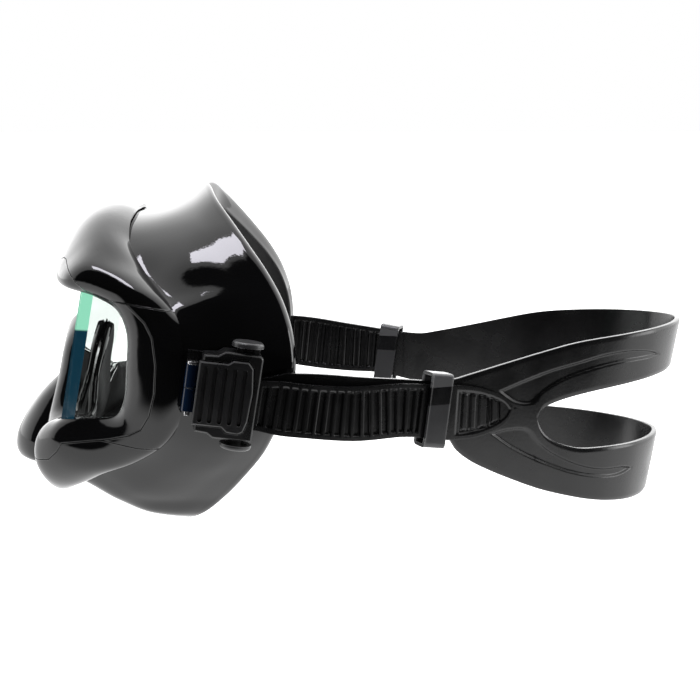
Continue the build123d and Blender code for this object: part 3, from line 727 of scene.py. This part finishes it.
def glass(name, ends):
    """Clear glass with faint smears; the cut ends of the front lens get painted light, a mint and deep blue
    glow standing in for light let through the glass.
    """
    mat, tree, shader = new_material(name)
    result = pane(tree)
    # Painted light: the cut ends glow by emission, mint above and deep blue below, standing in for light let
    # through the glass
    if ends:
        where = tree.nodes.new("ShaderNodeTexCoord")
        fold = tree.nodes.new("ShaderNodeVectorMath")
        fold.operation = "ABSOLUTE"
        tree.links.new(where.outputs["Object"], fold.inputs[0])
        reach = tree.nodes.new("ShaderNodeVectorMath")
        reach.operation = "DOT_PRODUCT"
        reach.inputs[1].default_value = END_NORMAL
        tree.links.new(fold.outputs["Vector"], reach.inputs[0])
        parts = tree.nodes.new("ShaderNodeSeparateXYZ")
        tree.links.new(where.outputs["Object"], parts.inputs["Vector"])
        colour = tint(tree, stepped(tree, parts.outputs["Z"], *PAINTED_GLOW_BREAK), PAINTED_GLOW_DEEP_BLUE, PAINTED_GLOW_MINT)
        tree.links.new(colour, shader.inputs["Emission Color"])
        shader.inputs["Emission Strength"].default_value = 1.0
        shader.inputs["Base Color"].default_value = (0.01, 0.02, 0.02, 1)
        shader.inputs["Roughness"].default_value = 0.2
        mix = tree.nodes.new("ShaderNodeMixShader")
        tree.links.new(stepped(tree, reach.outputs["Value"], *END_REACH), mix.inputs["Fac"])
        tree.links.new(result, mix.inputs[1])
        tree.links.new(shader.outputs["BSDF"], mix.inputs[2])
        result = mix.outputs["Shader"]
    tree.links.new(result, tree.nodes["Material Output"].inputs["Surface"])
    return mat


def steel(name):
    """Drawn stainless steel with fine lengthwise lines."""
    mat, tree, shader = new_material(name)
    where = tree.nodes.new("ShaderNodeTexCoord")
    squeeze = tree.nodes.new("ShaderNodeMapping")
    squeeze.inputs["Scale"].default_value = (2500, 2500, 60)
    tree.links.new(where.outputs["Object"], squeeze.inputs["Vector"])
    lines = tree.nodes.new("ShaderNodeTexNoise")
    lines.inputs["Scale"].default_value = 1.0
    tree.links.new(squeeze.outputs["Vector"], lines.inputs["Vector"])
    shader.inputs["Metallic"].default_value = 1.0
    tree.links.new(tint(tree, lines.outputs["Fac"], (0.62, 0.62, 0.63), (0.86, 0.86, 0.87)),
                   shader.inputs["Base Color"])
    tree.links.new(remap(tree, lines.outputs["Fac"], 0.16, 0.3), shader.inputs["Roughness"])
    surface_relief(tree, shader, [(lines.outputs["Fac"], 0.4, 0.00002)], 0.0002)
    return mat


KEEPER_HIGHLIGHT_FROM = (-0.0032, -0.0028)       # heights where the painted highlight on the top lip starts
KEEPER_SHEEN_TO = (-0.0092, -0.0086)      # and where the painted sheen on the lower face ends
# Painted light on the keeper: a grey sheen on the lower face and a silver grey highlight on the top lip
KEEPER_PAINTED_SHEEN = (0.045, 0.045, 0.047, 1)
KEEPER_PAINTED_HIGHLIGHT = (0.1, 0.1, 0.103, 1)


def keeper_plastic(name):
    """Gloss black, with a painted highlight in silver grey on the top lip and a painted grey sheen on the
    lower face.
    """
    mat = moulded(name, (0.004, 0.004, 0.0045), (0.008, 0.008, 0.009), (0.12, 0.22),
                  peel=0.00003, edge=0.0008, grain=0.00001)
    tree = mat.node_tree
    shader = tree.nodes["Principled BSDF"]
    where = tree.nodes.new("ShaderNodeTexCoord")
    parts = tree.nodes.new("ShaderNodeSeparateXYZ")
    tree.links.new(where.outputs["Object"], parts.inputs["Vector"])
    # Painted sheen: grey on the lower face
    face = tree.nodes.new("ShaderNodeMix")
    face.data_type = "RGBA"
    face.inputs["A"].default_value = KEEPER_PAINTED_SHEEN
    tree.links.new(stepped(tree, parts.outputs["Z"], *KEEPER_SHEEN_TO), face.inputs["Factor"])
    tree.links.new(shader.inputs["Base Color"].links[0].from_socket, face.inputs["B"])
    # Painted highlight: silver grey on the top lip
    lip = tree.nodes.new("ShaderNodeMix")
    lip.data_type = "RGBA"
    lip.inputs["B"].default_value = KEEPER_PAINTED_HIGHLIGHT
    tree.links.new(stepped(tree, parts.outputs["Z"], *KEEPER_HIGHLIGHT_FROM), lip.inputs["Factor"])
    tree.links.new(face.outputs["Result"], lip.inputs["A"])
    tree.links.new(lip.outputs["Result"], shader.inputs["Base Color"])
    return mat


def dress(mat, *names):
    """Give CAD nodes or new pieces a material."""
    for name in names:
        piece = bpy.data.objects[name]
        piece.data.materials.clear()
        piece.data.materials.append(mat)


def both(name):
    """Names of a left and right pair."""
    return [name + "_left", name + "_right"]


def dress_cad():
    """Materials of the hard parts that stay as CAD made them."""
    cover = moulded("cover_gloss_black", (0.0018, 0.0018, 0.002), (0.003, 0.003, 0.0034), (0.04, 0.09),
                    peel=0.00003, edge=0.0004)
    dress(cover, "brow_cover", *both("side_cover"), *both("lower_cover"))
    bezel = moulded("bezel_gloss_black", (0.002, 0.002, 0.0022), (0.0035, 0.0035, 0.004), (0.05, 0.11),
                    peel=0.00003, edge=0.0005)
    dress(bezel, "bezel")
    # The front lens gets painted light on its cut ends
    dress(glass("front_lens_glass", ends=True), "front_lens")
    dress(glass("side_lens_glass", ends=False), *both("side_lens"))
    satin = moulded("buckle_satin_black", (0.005, 0.005, 0.0055), (0.009, 0.009, 0.0095), (0.22, 0.34),
                    peel=0.00002, edge=0.0003, grain=0.00002)
    dress(satin, *both("buckle_housing"), *both("hinge_bracket"))
    ribbed = moulded("lever_satin_grey", (0.008, 0.008, 0.009), (0.014, 0.014, 0.015), (0.26, 0.4),
                     peel=0.00002, edge=0.0003, grain=0.00003)
    dress(ribbed, *both("lever"), *both("strap_roller"))
    cap = moulded("button_satin_grey", (0.03, 0.03, 0.031), (0.05, 0.05, 0.052), (0.25, 0.4),
                  peel=0.00002, edge=0.0003, grain=0.00003)
    dress(cap, *both("button_top"), *both("button_bottom"))
    # Gloss black with a blue tint painted in, standing in for a bluish reflection
    blue = moulded("hinge_gloss_black_painted_blue_reflection", (0.002, 0.007, 0.022), (0.003, 0.012, 0.036), (0.08, 0.16),
                   peel=0.00002, edge=0.0002)
    dress(blue, *both("hinge_barrel"), *both("hinge_knuckle"))
    dress(steel("pin_steel"), *both("hinge_pin"), *both("lever_pin"), *both("lever_spring"))
    dress(keeper_plastic("keeper_gloss_black"), *both("keeper"))


# ---------------------------------------------------------------- studio
def area_light(name, place, aim, size, power, colour, spin):
    """A soft rectangular light, turned by spin degrees about its own axis."""
    data = bpy.data.lights.new(name, "AREA")
    data.shape = "RECTANGLE"
    data.size, data.size_y = size
    data.energy = power
    data.color = colour
    lamp = bpy.data.objects.new(name, data)
    lamp.location = place
    turn = (Vector(place) - Vector(aim)).to_track_quat("Z", "Y").to_matrix()
    lamp.rotation_euler = (turn @ Matrix.Rotation(math.radians(spin), 3, "Z")).to_euler()
    bpy.context.collection.objects.link(lamp)


SKY_FAR = 2.6             # brightness of the white scrim behind the object
SKY_OVERHEAD = 1.1        # and at its edge above the camera's side
SKY_DARK = 0.03           # and past that edge
SCRIM_START = -0.6        # the scrim dims from this direction on, towards the camera's side
SCRIM_EDGE = (0.2, 0.25)  # and ends here
LAVENDER = (0.93, 0.91, 1)
WHITE = (1, 1, 1)
# Name, place, aim, size, power, colour and spin of each soft box.
SOFT_BOXES = [
    ("strip_box", (0.088, -0.095, 0.49), (0.088, -0.095, 0), (0.09, 0.2), 0.8, LAVENDER, -6),
    ("rear_box", (0.1, 0.75, 0.02), (0.03, 0.14, -0.02), (0.25, 0.4), 1.2, WHITE, 0),
]


def studio():
    """A white scrim from behind the object to overhead, black on the camera's side, and soft boxes."""
    world = bpy.data.worlds.new("studio")
    bpy.context.scene.world = world
    world.use_nodes = True
    tree = world.node_tree
    background = tree.nodes["Background"]
    background.inputs["Color"].default_value = (1, 1, 1, 1)
    background.inputs["Strength"].default_value = 1.0
    where = tree.nodes.new("ShaderNodeTexCoord")
    parts = tree.nodes.new("ShaderNodeSeparateXYZ")
    tree.links.new(where.outputs["Generated"], parts.inputs["Vector"])
    fade = tree.nodes.new("ShaderNodeMapRange")
    fade.inputs["From Min"].default_value = SCRIM_START
    fade.inputs["From Max"].default_value = SCRIM_EDGE[0]
    fade.inputs["To Min"].default_value = SKY_FAR
    fade.inputs["To Max"].default_value = SKY_OVERHEAD
    tree.links.new(parts.outputs["X"], fade.inputs["Value"])
    edge = stepped(tree, parts.outputs["X"], *SCRIM_EDGE)
    dark = tree.nodes.new("ShaderNodeMix")
    tree.links.new(edge, dark.inputs["Factor"])
    tree.links.new(fade.outputs["Result"], dark.inputs["A"])
    dark.inputs["B"].default_value = SKY_DARK
    scrim = tree.nodes.new("ShaderNodeBackground")
    scrim.inputs["Color"].default_value = (1, 1, 1, 1)
    tree.links.new(dark.outputs["Result"], scrim.inputs["Strength"])
    mix = tree.nodes.new("ShaderNodeMixShader")
    tree.links.new(seen_directly(tree), mix.inputs["Fac"])
    tree.links.new(scrim.outputs["Background"], mix.inputs[1])
    tree.links.new(background.outputs["Background"], mix.inputs[2])
    tree.links.new(mix.outputs["Shader"], tree.nodes["World Output"].inputs["Surface"])
    for box in SOFT_BOXES:
        area_light(*box)


FLOOR_SIZE = 40.0
FLOOR_GLOW = 1.0
TABLE_GLOW = 1.5          # how bright the table looks in reflections
TABLE_DARK = 0.02         # and past its edge
TABLE_EDGE = (0.13, 0.19)  # the table ends here, on the camera's side


def seen_directly(tree):
    """1 for what the camera sees, straight or through glass, 0 for light and reflections."""
    path = tree.nodes.new("ShaderNodeLightPath")
    value = path.outputs["Is Camera Ray"]
    steps = (("MAXIMUM", "Is Transmission Ray"), ("SUBTRACT", "Glossy Depth"), ("SUBTRACT", "Diffuse Depth"))
    for operation, source in steps:
        node = tree.nodes.new("ShaderNodeMath")
        node.operation = operation
        node.use_clamp = True
        tree.links.new(value, node.inputs[0])
        tree.links.new(path.outputs[source], node.inputs[1])
        value = node.outputs["Value"]
    return value


def make_floor():
    """A pale paper floor under the lowest point, glowing softly so it stays white far away."""
    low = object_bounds()[0][2]
    size = FLOOR_SIZE
    mesh = bpy.data.meshes.new("floor")
    mesh.from_pydata([(-size, -size, low), (size, -size, low), (size, size, low), (-size, size, low)],
                     [], [(0, 1, 2, 3)])
    floor = bpy.data.objects.new("floor", mesh)
    bpy.context.collection.objects.link(floor)
    mat, tree, shader = new_material("floor_paper")
    shader.inputs["Roughness"].default_value = 0.95
    shader.inputs["Specular IOR Level"].default_value = 0.0
    mottle = noise(tree, 6, 2)
    tree.links.new(tint(tree, mottle, (0.90, 0.90, 0.90), (0.94, 0.94, 0.94)), shader.inputs["Base Color"])
    shader.inputs["Emission Color"].default_value = (1, 1, 1, 1)
    shader.inputs["Emission Strength"].default_value = FLOOR_GLOW
    where = tree.nodes.new("ShaderNodeTexCoord")
    parts = tree.nodes.new("ShaderNodeSeparateXYZ")
    tree.links.new(where.outputs["Object"], parts.inputs["Vector"])
    edge = tree.nodes.new("ShaderNodeMapRange")
    edge.interpolation_type = "SMOOTHSTEP"
    edge.inputs["From Min"].default_value = TABLE_EDGE[0]
    edge.inputs["From Max"].default_value = TABLE_EDGE[1]
    edge.inputs["To Min"].default_value = TABLE_GLOW
    edge.inputs["To Max"].default_value = TABLE_DARK
    tree.links.new(parts.outputs["X"], edge.inputs["Value"])
    table = tree.nodes.new("ShaderNodeEmission")
    tree.links.new(edge.outputs["Result"], table.inputs["Strength"])
    mix = tree.nodes.new("ShaderNodeMixShader")
    tree.links.new(seen_directly(tree), mix.inputs["Fac"])
    tree.links.new(table.outputs["Emission"], mix.inputs[1])
    tree.links.new(shader.outputs["BSDF"], mix.inputs[2])
    tree.links.new(mix.outputs["Shader"], tree.nodes["Material Output"].inputs["Surface"])
    mesh.materials.append(mat)


# ---------------------------------------------------------------- build
make_camera()
dress_cad()

silicone = moulded("skirt_silicone_black", (0.002, 0.002, 0.0022), (0.0035, 0.0035, 0.004), (0.03, 0.07),
                   peel=0.00004, grain=0.00001)
lining = moulded("skirt_lining_matt", (0.026, 0.026, 0.027), (0.036, 0.036, 0.037), (0.5, 0.65),
                 peel=0.00003, grain=0.00002)
strap_mat = moulded("strap_silicone_black", (0.003, 0.003, 0.0033), (0.006, 0.006, 0.0065), (0.2, 0.3),
                    peel=0.00004, grain=0.00002)

skirt = skirt_piece(silicone, lining)
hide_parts("skirt")
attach(skirt, "frame")

yoke = yoke_piece()
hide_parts("strap_band")
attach(yoke, "frame")
dress(strap_mat, yoke.name)

left = strap_piece()
right = mirrored_copy(left, "strap_end_skin_right")
for piece, side, sign in ((left, "left", 1), (right, "right", -1)):
    dress(strap_mat, piece.name)
    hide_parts("strap_wrap_" + side, "strap_tail_" + side)
    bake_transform(piece)

make_floor()
studio()
bpy.context.scene.view_settings.view_transform = "Standard"
